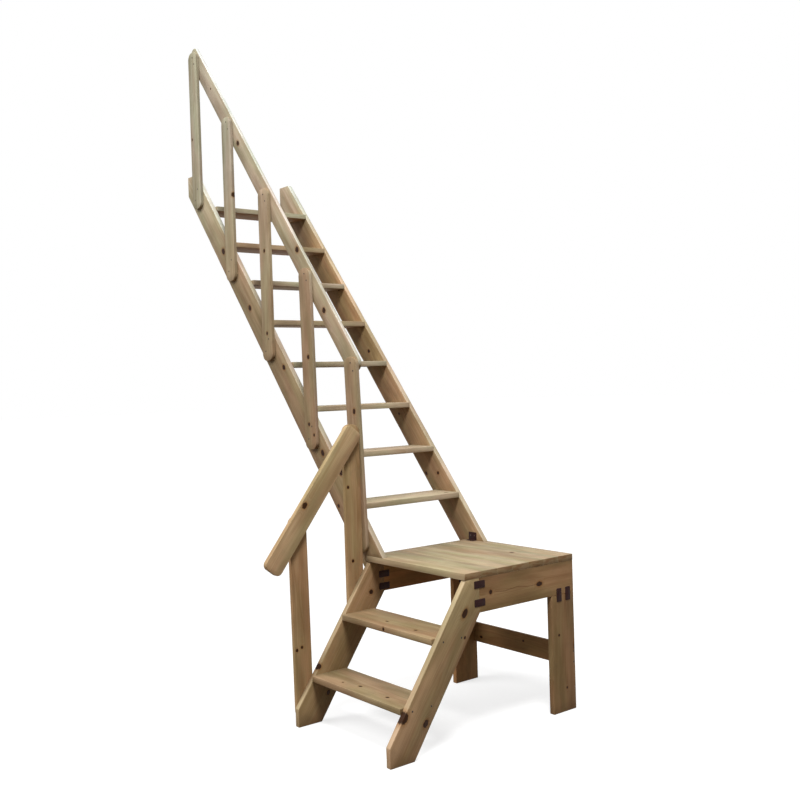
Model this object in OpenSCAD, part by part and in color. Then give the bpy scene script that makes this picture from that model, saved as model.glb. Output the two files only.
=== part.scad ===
// Loft staircase in planed pine: a square platform on legs, two treads in front of it,
// and a steep upper flight of eight treads that turns a quarter and rises to the loft.
//
// +Z is up. The upper flight climbs towards -X and the lower flight comes down towards -Y.
// The origin is the middle of the upright cut at the top of the near upper stringer,
// which is the face that is bolted to the loft edge.

/* [Platform] */
// Width of the platform, across the lower flight
platform_w = 674; // [560:1:850]
// Depth of the platform, across the upper flight
platform_d = 657; // [560:1:850]
// Height of the platform's top above the floor
platform_h = 700; // [620:1:840]

/* [Boards] */
// Thickness of the platform, stringer, tread and leg boards
board_t = 27; // [22:1:34]
// Width of the stringer, apron and leg boards
board_w = 145; // [120:1:175]
// Width of the newel and the balusters
slat_w = 95; // [79:1:114]
// Thickness of the railing slats and rails
slat_t = 18; // [15:1:24]
// Length of a baluster or lower railing post
slat_l = 894; // [750:1:1050]
// Radius on the corners of a slat's ends
slat_r = 38; // [10:1:45]

/* [Lower flight] */
// Pitch of the lower flight in degrees
lower_pitch = 54.8; // [48:0.1:62]
// Height from one lower tread to the next
lower_rise = 243; // [210:1:255]
// Number of treads below the platform
lower_treads = 2; // [2:1:2]
// How far the stringers' front edge meets the platform behind its front edge
lower_setback = 6; // [0:1:20]
// Height of the upright cut at the stringers' feet
foot_cut_h = 80; // [40:1:110]
// Depth of a lower tread from front to back
lower_tread_d = 185; // [165:1:215]

/* [Upper flight] */
// Pitch of the upper flight in degrees
upper_pitch = 50.65; // [47:0.05:55]
// Where the stringers' upper edge meets the platform, from its left edge
upper_start = 126; // [80:1:180]
// Height of the first upper tread above the platform
first_rise = 234; // [195:1:281]
// Height from one upper tread to the next
upper_rise = 228; // [190:1:274]
// Number of treads in the upper flight
upper_treads = 8; // [8:1:8]
// Height of the stringers' level top above the last tread
top_rise = 208; // [150:1:260]
// Length of the level cut at the stringers' top
top_flat = 97; // [60:1:110]
// Depth of an upper tread from front to back
upper_tread_d = 185; // [165:1:215]

/* [Upper railing] */
// How much steeper the handrail is than the upper flight in degrees
handrail_steeper = 0.65; // [0:0.05:1]
// Upright distance from the stringer's edge to the handrail's edge, at the newel
handrail_rise = 740; // [630:1:840]
// Width of the upper handrail
handrail_w = 95; // [79:1:114]
// Number of balusters above the newel
balusters = 4; // [4:1:4]
// Distance of the last baluster's centre line from the upright cut at the loft
rail_end = 136; // [80:1:220]
// Reach of the handrail's upper edge beyond the last baluster's centre line
handrail_over = 0; // [0:1:40]
// Reach of the handrail's upper edge beyond the newel's centre line
handrail_foot = 62; // [40:1:90]
// How far a slat's rounded top stands below the handrail's upper edge
slat_top_drop = 43; // [10:1:60]
// Height of the newel's foot above the platform
newel_gap = 13; // [5:1:40]
// Distance of the newel's top from the platform's left edge
newel_back = 10; // [0:1:25]
// Lean of the newel in degrees, with its foot towards the platform
newel_lean = 2.5; // [0:0.1:3]
// Lean of the lowest baluster in degrees, the same way
baluster_lean = 1.2; // [0:0.1:2]

/* [Lower railing] */
// Height of the top of the upper post above the platform
low_rail_h = 610; // [520:1:700]
// Width of the two posts
post_w = 89; // [74:1:107]
// Height of the lower post's foot above the floor
low_post_gap = 28; // [10:1:60]
// Lean of the lower post in degrees, with its foot towards the platform
low_post_lean = 0.6; // [0:0.1:2]
// Width of the lower handrail
low_rail_w = 92; // [76:1:112]
// Thickness of the lower handrail
low_rail_t = 24; // [18:1:29]
// How much longer the lower handrail is than the distance between its posts
low_rail_over = 260; // [216:1:312]
// How far the rail's upper end stands below the upper post's top
low_rail_drop = 4; // [0:1:20]
// Distance of the rail's upper end from that post's rear edge
low_rail_inset = 12; // [0:1:20]
// Radius on the corners of the lower handrail
low_rail_r = 25; // [10:1:38]

/* [Fittings] */
// Length of a joining plate
plate_l = 60; // [50:1:72]
// Width of a joining plate
plate_w = 31; // [26:1:37]
// Thickness of the plates and brackets
plate_t = 2; // [1.5:0.1:3]
// Width of a foot bracket
bracket_w = 55; // [40:1:70]
// Height of a foot bracket
bracket_h = 40; // [30:1:50]
// Reach of a foot bracket over the platform
bracket_d = 26; // [20:1:40]
// Distance of a foot bracket from the platform's left edge
bracket_x = 19; // [10:1:40]
// Width of the stretcher between the rear legs
stretcher_w = 95; // [79:1:114]
// Height of the stretcher's centre line above the floor
stretcher_h = 237; // [120:1:420]

/* [Hidden] */
$fn = 48;

pine = [0.72, 0.63, 0.47];
pine_dark = [0.58, 0.47, 0.34];
plate_dark = [0.20, 0.14, 0.15];

// Platform
panel_z = platform_h - board_t;
apron_z = panel_z - board_w;

// Lower flight: its edges lean back by lower_lean for each millimetre of height
lower_lean = 1 / tan(lower_pitch);
lower_deep = board_w / sin(lower_pitch);
joint_y = lower_setback - lower_lean * board_w + lower_deep;
foot_y = lower_front(foot_cut_h);

// Upper flight
upper_lean = 1 / tan(upper_pitch);
upper_deep = board_w / sin(upper_pitch);
last_tread_z = platform_h + first_rise + (upper_treads - 1) * upper_rise;
stringer_top_z = last_tread_z + top_rise;
top_cut_x = upper_front(stringer_top_z) - top_flat;
top_cut_z = upper_back_z(top_cut_x);
tail_z = upper_back_z(0);

// Upper railing: handrail_lean is the run for each millimetre of height
handrail_pitch = upper_pitch + handrail_steeper;
handrail_lean = 1 / tan(handrail_pitch);
newel_x = -newel_back - slat_w / 2;
rail_ref_z = upper_front_z(newel_x) + handrail_rise;
newel_top = rail_ref_z - slat_top_drop;
baluster_pitch = (newel_x - top_cut_x - rail_end) / balusters;

// Lower railing: its posts by front edge and top, and the rail parallel to their tops
upper_post_y = -slat_t - post_w;
upper_post_top = platform_h + low_rail_h;
lower_post_top = low_post_gap + slat_l;
post_run = upper_post_y - foot_y;
post_rise = upper_post_top - lower_post_top;
low_rail_pitch = atan2(post_rise, post_run);
low_rail_l = sqrt(post_run * post_run + post_rise * post_rise) + low_rail_over;

// Middle of the rear corner round at the upper end of the lower handrail
low_rail_y = -slat_t - low_rail_inset - low_rail_r;
low_rail_z = upper_post_top - low_rail_drop - low_rail_r
    - (low_rail_w - 2 * low_rail_r) * cos(low_rail_pitch);

// Middles of the joining plates: below the panel at the stringers, from the rear at the legs
left_plate_drops = [0.45 * board_w, 0.84 * board_w];
right_plate_drops = [0.18 * board_w, 0.71 * board_w];
leg_plate_insets = [0.27 * board_w, 0.66 * board_w];

// The bolted face at the top of the near upper stringer
fixing = [top_cut_x, board_t / 2, (top_cut_z + stringer_top_z) / 2];

// Front edge of the lower stringers at a height
function lower_front(z) = lower_setback - lower_lean * (panel_z - z);

// Upper edge of the upper stringers at a height, and the heights of both edges at an x
function upper_front(z) = upper_start - upper_lean * (z - platform_h);
function upper_front_z(x) = platform_h + (upper_start - x) / upper_lean;
function upper_back_z(x) = upper_front_z(x) - upper_deep / upper_lean;

// Upper edge of the handrail at an x
function handrail_z(x) = rail_ref_z + (newel_x - x) / handrail_lean;

// A board whose outline lies in the YZ plane, from x to x + t
module board_yz(x, t) {
    translate([x, 0, 0])
        rotate([90, 0, 90])
            linear_extrude(t)
                children();
}

// A board whose outline lies in the XZ plane, from y to y + t
module board_xz(y, t) {
    translate([0, y + t, 0])
        rotate([90, 0, 0])
            linear_extrude(t)
                children();
}

// Outline of a board with rounded corners, from the middle of its lower end
module rounded_board(w, l, r) {
    q = min(r, 0.49 * w);
    union() {
        translate([-w / 2, q]) square([w, l - 2 * q]);
        translate([-w / 2 + q, 0]) square([w - 2 * q, l]);
        for (sx = [-1, 1], y = [q, l - q])
            translate([sx * (w / 2 - q), y]) circle(q);
    }
}

module platform_panel() {
    color(pine)
        translate([0, 0, panel_z])
            cube([platform_w, platform_d, board_t]);
}

module apron(x) {
    color(pine)
        translate([x, joint_y, apron_z])
            cube([board_t, platform_d - joint_y, board_w]);
}

module rear_leg(x) {
    color(pine_dark)
        translate([x, platform_d - board_w, 0])
            cube([board_t, board_w, apron_z]);
}

module leg_stretcher() {
    color(pine_dark)
        translate([board_t, platform_d - slat_t, stretcher_h - stretcher_w / 2])
            cube([platform_w - 2 * board_t, slat_t, stretcher_w]);
}

// Level under the platform, upright behind against the apron, level and upright at the foot
module lower_stringer(x) {
    color(pine_dark)
        board_yz(x, board_t)
            polygon([
                [foot_y, 0],
                [foot_y, foot_cut_h],
                [lower_setback, panel_z],
                [joint_y, panel_z],
                [joint_y, apron_z],
                [lower_front(0) + lower_deep, 0]
            ]);
}

// Tread i of the lower flight, counted from the floor; its lower front edge is flush
module lower_tread(i) {
    z = platform_h - (lower_treads + 1 - i) * lower_rise - board_t;
    color(pine_dark)
        translate([board_t, lower_front(z), z])
            cube([platform_w - 2 * board_t, lower_tread_d, board_t]);
}

// Notched over the platform's left edge, level and upright at the loft
module upper_stringer(y) {
    color(pine)
        board_xz(y, board_t)
            polygon([
                [upper_start, platform_h],
                [upper_front(stringer_top_z), stringer_top_z],
                [top_cut_x, stringer_top_z],
                [top_cut_x, top_cut_z],
                [0, tail_z],
                [0, platform_h]
            ]);
}

// Tread i of the upper flight, counted from the platform
module upper_tread(i) {
    z = platform_h + first_rise + (i - 1) * upper_rise - board_t;
    color(pine)
        translate([upper_front(z) - upper_tread_d, board_t, z])
            cube([upper_tread_d, platform_d - 2 * board_t, board_t]);
}

// Railing slat of length l with the middle of its top at [x, z], its foot swung by lean
module railing_slat(x, z, l, lean) {
    color(pine)
        board_xz(-slat_t, slat_t)
            translate([x, z])
                rotate(lean)
                    translate([0, -l])
                        rounded_board(slat_w, l, slat_r);
}

module newel_post() {
    railing_slat(newel_x, newel_top, newel_top - platform_h - newel_gap, newel_lean);
}

// Baluster i of the upper railing, counted from the newel
module baluster(i) {
    x = newel_x - i * baluster_pitch;
    railing_slat(x, handrail_z(x) - slat_top_drop, slat_l, i == 1 ? baluster_lean : 0);
}

// Round-ended board behind the slats, from beyond the newel to beyond the last baluster
module upper_handrail() {
    foot_x = newel_x + handrail_foot;
    run = handrail_foot + balusters * baluster_pitch + handrail_over;
    color(pine)
        board_xz(0, slat_t)
            translate([foot_x, handrail_z(foot_x)])
                rotate(90 - handrail_pitch)
                    translate([-handrail_w / 2, 0])
                        rounded_board(handrail_w, run / cos(handrail_pitch), slat_r);
}

// Post of the lower railing: its front edge is at y where its top is at z
module low_rail_post(y, z, lean = 0) {
    color(pine_dark)
        board_yz(-slat_t, slat_t)
            translate([y + post_w / 2, z])
                rotate(lean)
                    translate([0, -slat_l])
                        rounded_board(post_w, slat_l, slat_r);
}

module lower_handrail() {
    color(pine_dark)
        board_yz(0, low_rail_t)
            translate([low_rail_y, low_rail_z])
                rotate(low_rail_pitch - 90)
                    translate([low_rail_r - low_rail_w / 2, low_rail_r - low_rail_l])
                        rounded_board(low_rail_w, low_rail_l, low_rail_r);
}

// Two plates across the joint of stringer and apron, on the face at x
module stringer_plates(x, drops) {
    color(plate_dark)
        for (drop = drops)
            translate([x, joint_y - plate_l / 2, panel_z - drop - plate_w / 2])
                cube([plate_t, plate_l, plate_w]);
}

// Two upright plates across the joint of apron and leg, on the face at x
module leg_plates(x) {
    color(plate_dark)
        for (inset = leg_plate_insets)
            translate([x, platform_d - inset - plate_w / 2, apron_z - plate_l / 2])
                cube([plate_t, plate_w, plate_l]);
}

// Angle that holds a stringer's foot: it stands against the face at y and reaches to one side
module foot_bracket(y, side) {
    color(plate_dark)
        translate([bracket_x, y, platform_h])
            union() {
                translate([0, min(0, side * plate_t), 0])
                    cube([bracket_w, plate_t, bracket_h]);
                translate([0, min(0, side * bracket_d), 0])
                    cube([bracket_w, bracket_d, plate_t]);
            }
}

// Moves the model so that the origin is on the bolted face
module placed() {
    translate(-fixing) children();
}

placed() platform_panel();
placed() apron(0);  // left_apron
placed() apron(platform_w - board_t);  // right_apron
placed() rear_leg(0);  // left_rear_leg
placed() rear_leg(platform_w - board_t);  // right_rear_leg
placed() leg_stretcher();
placed() lower_stringer(0);  // lower_left_stringer
placed() lower_stringer(platform_w - board_t);  // lower_right_stringer
for (i = [1 : lower_treads])
    placed() lower_tread(i);
placed() upper_stringer(0);  // upper_near_stringer
placed() upper_stringer(platform_d - board_t);  // upper_far_stringer
for (i = [1 : upper_treads])
    placed() upper_tread(i);
placed() newel_post();
for (i = [1 : balusters])
    placed() baluster(i);
placed() upper_handrail();
placed() low_rail_post(upper_post_y, upper_post_top);  // lower_rail_upper_post
placed() low_rail_post(foot_y, lower_post_top, low_post_lean);  // lower_rail_lower_post
placed() lower_handrail();
placed() stringer_plates(board_t, left_plate_drops);  // left_stringer_plates
placed() stringer_plates(platform_w, right_plate_drops);  // right_stringer_plates
placed() leg_plates(board_t);  // left_leg_plates
placed() leg_plates(platform_w);  // right_leg_plates
placed() foot_bracket(board_t, 1);  // near_foot_bracket
placed() foot_bracket(platform_d - board_t, -1);  // far_foot_bracket
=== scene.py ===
import math
import random

import bmesh
import bpy
from mathutils import Matrix, Vector, noise


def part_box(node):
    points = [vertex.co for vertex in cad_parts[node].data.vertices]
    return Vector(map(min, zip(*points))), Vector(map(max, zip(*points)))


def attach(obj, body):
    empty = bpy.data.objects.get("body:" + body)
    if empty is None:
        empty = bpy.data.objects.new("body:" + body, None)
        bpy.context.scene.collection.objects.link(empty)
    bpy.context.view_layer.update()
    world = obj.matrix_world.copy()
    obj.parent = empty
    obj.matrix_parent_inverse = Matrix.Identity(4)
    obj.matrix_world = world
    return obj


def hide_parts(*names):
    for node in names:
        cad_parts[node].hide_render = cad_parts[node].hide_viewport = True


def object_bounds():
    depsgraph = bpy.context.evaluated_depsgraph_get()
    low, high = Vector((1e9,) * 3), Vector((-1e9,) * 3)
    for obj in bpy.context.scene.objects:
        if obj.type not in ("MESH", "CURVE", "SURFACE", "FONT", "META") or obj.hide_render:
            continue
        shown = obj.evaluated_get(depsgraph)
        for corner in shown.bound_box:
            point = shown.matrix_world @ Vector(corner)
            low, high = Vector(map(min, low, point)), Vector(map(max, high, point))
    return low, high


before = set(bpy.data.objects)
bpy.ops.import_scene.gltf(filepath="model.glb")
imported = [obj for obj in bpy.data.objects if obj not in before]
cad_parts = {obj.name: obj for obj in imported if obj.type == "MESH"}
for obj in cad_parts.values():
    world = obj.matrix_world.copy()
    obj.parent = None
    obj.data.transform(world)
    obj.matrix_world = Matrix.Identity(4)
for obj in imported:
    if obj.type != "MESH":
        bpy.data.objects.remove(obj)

bl_info = {
    "name": "Loft staircase",
    "version": (1, 0, 0),
    "blender": (4, 5, 0),
    "location": "3D View > Sidebar > Loft staircase",
    "description": "Boards, fittings and stage of a loft staircase in planed pine",
    "category": "Object",
}

CAD_BOX = [list(corner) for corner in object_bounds()]
FLOOR_Z = CAD_BOX[0][2]

# A crack's shares along where it starts and stops and its share across, beyond every board
NO_CRACK = (9, 9, 9)

# How far beyond a board's end its missing knots lie, in metres
FAR_OFF = 9

# A knot further across than this share shows on the edge too, and narrows this much with depth
AT_EDGE, EDGE_DEPTH = 0.94, 0.55

# Edges that turn by more than the first, in radians, are a piece's sharp edges, and faces that
# meet at less than the second are shaded as one
SHARP, SMOOTH = 0.5, math.radians(40)

# How often the wear of an arris changes in a metre, and the most that it takes, as its share
WEAR_CHANGES, WEAR_TAKES = 21, 0.5

# How far a screw's head sinks into a plate and into a bracket
PLATE_SINK, BRACKET_SINK = 0.0007, 0.0005

# What multiplies the colour of wood that is stained or in a cloud, the painted highlight or painted
# shade on a board's side faces, and the painted shade on its underside
GREENISH, REDDISH = (0.93, 1.0, 0.90), (1.07, 0.98, 0.96)
SHADY, LIGHT = (0.83, 0.80, 0.76), (1.14, 1.15, 1.17)
# Painted highlight and painted shade on a board's side faces
PAINTED_EDGE_HIGHLIGHT, PAINTED_EDGE_SHADE = (1.42, 1.68, 2.2), (0.42, 0.40, 0.38)
# Painted brown shade on the downward faces of a board
PAINTED_UNDERSIDE_SHADE = (0.72, 0.44, 0.24)

# Colours laid over the wood
WOOD_DIRT = (0.16, 0.125, 0.085)
TORN_PALE, TORN_DARK = (0.27, 0.175, 0.085), (0.19, 0.09, 0.028)
RESIN = (0.25, 0.11, 0.032)
CRACK = (0.07, 0.028, 0.010)

# Colours laid over the coating and the screws
PURPLE = (0.040, 0.016, 0.018)
PLATE_DIRT = (0.10, 0.065, 0.045)
RUBBED = (0.13, 0.095, 0.08)
# Painted shade in a screw's cross recess
PAINTED_RECESS_SHADE = (0.012, 0.010, 0.009)

# What multiplies the timber's colours in the lower boards, in part their own browner colour and in
# part painted shade low down, and in the platform's staves
LOWER_SHADE, STAVE_SHADE = (0.95, 0.82, 0.66), (0.95, 1.0, 0.98)


# ---------------------------------------------------------------- settings

class TimberSettings(bpy.types.PropertyGroup):
    """Sizes and colours of the boards"""
    arris: bpy.props.FloatProperty(
        name="Arris", description="Rounding of a structural board's edges",
        default=0.0022, min=0.0, max=0.006, unit="LENGTH")
    slat_arris: bpy.props.FloatProperty(
        name="Slat arris", description="Rounding of a railing slat's edges",
        default=0.0016, min=0.0, max=0.005, unit="LENGTH")
    cut: bpy.props.FloatProperty(
        name="Cut", description="Distance between a board's cross cuts, where its arris can wander",
        default=0.045, min=0.02, max=0.2, unit="LENGTH")
    staves: bpy.props.IntProperty(
        name="Staves", description="Number of glued staves in the platform's panel",
        default=7, min=3, max=12)
    stave_arris: bpy.props.FloatProperty(
        name="Stave arris", description="Rounding of a stave's edges, which makes the glue lines",
        default=0.0007, min=0.0, max=0.003, unit="LENGTH")
    stave_cut: bpy.props.FloatProperty(
        name="Stave cut", description="Distance between a stave's cross cuts",
        default=0.06, min=0.02, max=0.2, unit="LENGTH")
    early: bpy.props.FloatVectorProperty(
        name="Early wood", description="Colour of the pale part of a growth ring",
        default=(0.405, 0.320, 0.222), min=0, max=1, subtype="COLOR")
    late: bpy.props.FloatVectorProperty(
        name="Late wood", description="Colour of the dark part of a growth ring",
        default=(0.275, 0.184, 0.098), min=0, max=1, subtype="COLOR")
    knot: bpy.props.FloatVectorProperty(
        name="Knot", description="Colour of a knot's heart",
        default=(0.030, 0.009, 0.001), min=0, max=1, subtype="COLOR")
    bark: bpy.props.FloatVectorProperty(
        name="Bark", description="Colour of the bark round a knot",
        default=(0.017, 0.006, 0.002), min=0, max=1, subtype="COLOR")


class FittingSettings(bpy.types.PropertyGroup):
    """Sizes and colours of the plates, brackets and screws"""
    coat: bpy.props.FloatVectorProperty(
        name="Coat", description="Colour of the coating on the plates and brackets",
        default=(0.018, 0.006, 0.005), min=0, max=1, subtype="COLOR")
    steel: bpy.props.FloatVectorProperty(
        name="Steel", description="Colour of the screws in the boards",
        default=(0.10, 0.075, 0.050), min=0, max=1, subtype="COLOR")
    head: bpy.props.FloatProperty(
        name="Head", description="Radius of a screw's head in the boards",
        default=0.0042, min=0.002, max=0.008, unit="LENGTH")
    plate_head: bpy.props.FloatProperty(
        name="Plate head", description="Radius of a screw's head in a plate",
        default=0.0040, min=0.002, max=0.008, unit="LENGTH")
    corner: bpy.props.FloatProperty(
        name="Corner", description="Radius of a plate's corners",
        default=0.004, min=0.0, max=0.01, unit="LENGTH")
    arris: bpy.props.FloatProperty(
        name="Arris", description="Rounding of a fitting's edges",
        default=0.0004, min=0.0, max=0.001, unit="LENGTH")
    sheet: bpy.props.FloatProperty(
        name="Sheet", description="Thickness of a bracket's steel",
        default=0.002, min=0.001, max=0.003, unit="LENGTH")
    bend: bpy.props.FloatProperty(
        name="Bend", description="Radius of a bracket's bend, outside",
        default=0.004, min=0.003, max=0.01, unit="LENGTH")
    plate_steel: bpy.props.FloatVectorProperty(
        name="Plate steel", description="Colour of the screws in the plates",
        default=(0.30, 0.22, 0.23), min=0, max=1, subtype="COLOR")
    bracket_steel: bpy.props.FloatVectorProperty(
        name="Bracket steel", description="Colour of the screws in the brackets",
        default=(0.16, 0.12, 0.11), min=0, max=1, subtype="COLOR")


class StageSettings(bpy.types.PropertyGroup):
    """Camera, lamps and floor"""
    place: bpy.props.FloatVectorProperty(
        name="Camera", description="Place of the camera",
        default=(5.3384, -2.7445, -1.1980), subtype="TRANSLATION", unit="LENGTH")
    yaw: bpy.props.FloatProperty(
        name="Yaw", description="Turn of the camera to the left of +Y",
        default=math.radians(51.824), subtype="ANGLE")
    pitch: bpy.props.FloatProperty(
        name="Pitch", description="Tilt of the camera above the level",
        default=math.radians(-1.26), subtype="ANGLE")
    roll: bpy.props.FloatProperty(
        name="Roll", description="Roll of the camera",
        default=math.radians(-1.796), subtype="ANGLE")
    lens: bpy.props.FloatProperty(
        name="Lens", description="Focal length in millimetres on a 36 mm sensor",
        default=44.80, min=10, max=200)
    shift: bpy.props.FloatVectorProperty(
        name="Shift", description="Shift of the camera's frame", size=2,
        default=(0.01107, 0.00864))
    sky: bpy.props.FloatProperty(
        name="Sky", description="Strength of the even light from all round",
        default=0.34, min=0, max=2)
    front: bpy.props.FloatProperty(
        name="Front lamp", description="Strength of the soft lamp before the lower flight",
        default=2.12, min=0, max=10)
    side: bpy.props.FloatProperty(
        name="Side lamp", description="Power of the soft lamp high beyond the platform, in watts",
        default=550, min=0, max=4000)
    floor: bpy.props.FloatVectorProperty(
        name="Floor", description="Colour of the light the floor gives back to the stair",
        default=(0.115, 0.075, 0.045), min=0, max=1, subtype="COLOR")


# ---------------------------------------------------------------- shader nodes

class Nodes:
    """Adds nodes to a tree and joins them up"""

    def __init__(self, tree):
        self.tree = tree

    def add(self, kind, **settings):
        node = self.tree.nodes.new(kind)
        node.location = (180 * (len(self.tree.nodes) % 12), -220 * (len(self.tree.nodes) // 12))
        for key, value in settings.items():
            setattr(node, key, value)
        return node

    def join(self, value, socket):
        if isinstance(value, bpy.types.NodeSocket):
            self.tree.links.new(value, socket)
        else:
            socket.default_value = value

    def math(self, operation, *values, clamp=False):
        node = self.add("ShaderNodeMath", operation=operation, use_clamp=clamp)
        for value, socket in zip(values, node.inputs):
            self.join(value, socket)
        return node.outputs[0]

    def vector(self, operation, *values):
        node = self.add("ShaderNodeVectorMath", operation=operation)
        for value, socket in zip(values, node.inputs):
            self.join(value, socket)
        return node.outputs[1 if operation in ("LENGTH", "DOT_PRODUCT") else 0]

    def split(self, vector):
        node = self.add("ShaderNodeSeparateXYZ")
        self.join(vector, node.inputs[0])
        return node.outputs

    def smooth(self, value, low, high, start=0.0, end=1.0):
        node = self.add("ShaderNodeMapRange", interpolation_type="SMOOTHSTEP")
        for number, socket in zip((value, low, high, start, end), node.inputs):
            self.join(number, socket)
        return node.outputs[0]

    def mix(self, factor, a, b, blend="MIX"):
        node = self.add("ShaderNodeMix", data_type="RGBA", blend_type=blend)
        self.join(factor, node.inputs[0])
        for value, socket in ((a, node.inputs[6]), (b, node.inputs[7])):
            self.join(value if isinstance(value, bpy.types.NodeSocket) else (*value, 1), socket)
        return node.outputs[2]

    def times(self, colour, tint):
        return self.mix(1.0, colour, tint, "MULTIPLY")

    def noise(self, vector, scale=1.0, detail=2.0, roughness=0.5):
        node = self.add("ShaderNodeTexNoise")
        self.join(vector, node.inputs["Vector"])
        for key, value in (("Scale", scale), ("Detail", detail), ("Roughness", roughness)):
            node.inputs[key].default_value = value
        return node.outputs[0]

    def attribute(self, name, output="Vector"):
        return self.add("ShaderNodeAttribute", attribute_name=name).outputs[output]

    def group(self, group, **values):
        node = self.add("ShaderNodeGroup", node_tree=group)
        for key, value in values.items():
            self.join(value, node.inputs[key])
        return node.outputs

    def bump(self, shader, height, strength, distance):
        node = self.add("ShaderNodeBump")
        node.inputs["Strength"].default_value = strength
        node.inputs["Distance"].default_value = distance
        self.join(height, node.inputs["Height"])
        self.join(node.outputs[0], shader.inputs["Normal"])


def shader_group(name, inputs, outputs):
    """A new group with these named inputs and outputs, as its nodes, its inputs and its output node"""
    tree = bpy.data.node_groups.new(name, "ShaderNodeTree")
    kinds = {"value": "NodeSocketFloat", "vector": "NodeSocketVector", "colour": "NodeSocketColor"}
    for label, kind in inputs:
        tree.interface.new_socket(label, in_out="INPUT", socket_type=kinds[kind])
    for label, kind in outputs:
        tree.interface.new_socket(label, in_out="OUTPUT", socket_type=kinds[kind])
    nodes = Nodes(tree)
    return nodes, nodes.add("NodeGroupInput").outputs, nodes.add("NodeGroupOutput")


# How far the rings wander along a board, in metres
RING_WANDER = 0.045

# How often each changes in a metre along and across the grain, its detail and its roughness
GRAIN = {
    "Streaks": (1.4, 42.0, 3, 0.6),
    "Fibres": (11.0, 520.0, 2, 0.5),
    "Stain": (3.1, 13.0, 2, 0.5),
    "Cloud": (3.6, 19.0, 2.5, 0.5),
}


def growth_group():
    """Growth rings round a pith, streaks, fibres and stains, in a board's own directions"""
    if "Growth" in bpy.data.node_groups:
        return bpy.data.node_groups["Growth"]
    n, given, out = shader_group(
        "Growth",
        [("Place", "vector"), ("Pith", "vector"), ("Seed", "vector"), ("Swirl", "value")],
        [("Rings", "value")] + [(name, "value") for name in GRAIN])
    spot = n.vector("ADD", given["Place"], given["Seed"])
    wander = n.noise(n.vector("MULTIPLY", spot, (1.3, 9.0, 9.0)), detail=1.5)
    place, pith = n.split(given["Place"]), n.split(given["Pith"])
    across = n.math("SUBTRACT", place[1], pith[0])
    through = n.math("SUBTRACT", place[2], pith[1])
    radius = n.math("SQRT", n.math(
        "ADD", n.math("MULTIPLY", across, across), n.math("MULTIPLY", through, through)))
    radius = n.math("ADD", radius, n.math("MULTIPLY", n.math("SUBTRACT", wander, 0.5), RING_WANDER))
    radius = n.math("ADD", radius, given["Swirl"])
    count = n.math("DIVIDE", radius, pith[2])
    ring = n.math("FRACT", count)
    late = n.math("MULTIPLY", n.smooth(ring, 0.25, 0.9), n.smooth(ring, 0.92, 1.0, 1.0, 0.0))
    year = n.add("ShaderNodeTexWhiteNoise", noise_dimensions="1D")
    n.join(n.math("FLOOR", count), year.inputs["W"])
    strength = n.math("MULTIPLY_ADD", year.outputs["Value"], 0.65, 0.35)
    n.join(n.math("MULTIPLY", late, strength), out.inputs["Rings"])
    for name, (along, over, detail, roughness) in GRAIN.items():
        grain = n.vector("MULTIPLY", spot, (along, over, over))
        n.join(n.noise(grain, detail=detail, roughness=roughness), out.inputs[name])
    return n.tree


def knot_group():
    """A knot's heart, the bark round it, the warm wood beside it and how it turns the rings aside"""
    if "Knots" in bpy.data.node_groups:
        return bpy.data.node_groups["Knots"]
    n, given, out = shader_group(
        "Knots",
        [("Nearest", "vector"), ("Next", "vector"), ("Place", "vector")],
        [("Heart", "value"), ("Bark", "value"), ("Halo", "value"), ("Swirl", "value")])
    far = n.math("MINIMUM", n.vector("LENGTH", given["Nearest"]), n.vector("LENGTH", given["Next"]))
    ragged = n.noise(n.vector("MULTIPLY", given["Place"], (140.0, 140.0, 140.0)), detail=2)
    far = n.math("ADD", far, n.math("MULTIPLY", n.math("SUBTRACT", ragged, 0.5), 0.6))
    n.join(n.smooth(far, 0.75, 1.1, 1.0, 0.0), out.inputs["Heart"])
    n.join(n.math("MULTIPLY", n.smooth(far, 0.6, 0.85), n.smooth(far, 0.95, 1.25, 1.0, 0.0)),
           out.inputs["Bark"])
    n.join(n.smooth(far, 0.95, 2.1, 1.0, 0.0), out.inputs["Halo"])
    n.join(n.smooth(far, 0.2, 3.4, 0.014, 0.0), out.inputs["Swirl"])
    return n.tree


def wear_group():
    """A broken mask along a piece's edges, and the dirt that gathers on its faces"""
    if "Wear" in bpy.data.node_groups:
        return bpy.data.node_groups["Wear"]
    n, given, out = shader_group(
        "Wear",
        [("Place", "vector"), ("Half", "vector"), ("Seed", "vector"), ("Width", "value")],
        [("Edge", "value"), ("Dirt", "value")])
    inward = n.split(n.vector("SUBTRACT", given["Half"], n.vector("ABSOLUTE", given["Place"])))
    least = n.math("MINIMUM", inward[0], n.math("MINIMUM", inward[1], inward[2]))
    most = n.math("MAXIMUM", inward[0], n.math("MAXIMUM", inward[1], inward[2]))
    total = n.math("ADD", inward[0], n.math("ADD", inward[1], inward[2]))
    near = n.math("SUBTRACT", n.math("SUBTRACT", total, least), most)
    spot = n.vector("ADD", given["Place"], given["Seed"])
    broken = n.smooth(n.noise(spot, scale=38.0, detail=3), 0.35, 0.65)
    edge = n.smooth(n.math("DIVIDE", near, given["Width"]), 0.0, 1.0, 1.0, 0.0)
    n.join(n.math("MULTIPLY", edge, broken), out.inputs["Edge"])
    n.join(n.smooth(n.noise(spot, scale=13.0, detail=4, roughness=0.65), 0.48, 0.74),
           out.inputs["Dirt"])
    return n.tree


def new_material(name):
    """A new material, as its nodes and its Principled shader"""
    material = bpy.data.materials.new(name)
    material.use_nodes = True
    shader = material.node_tree.nodes["Principled BSDF"]
    return material, Nodes(material.node_tree), shader


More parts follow.
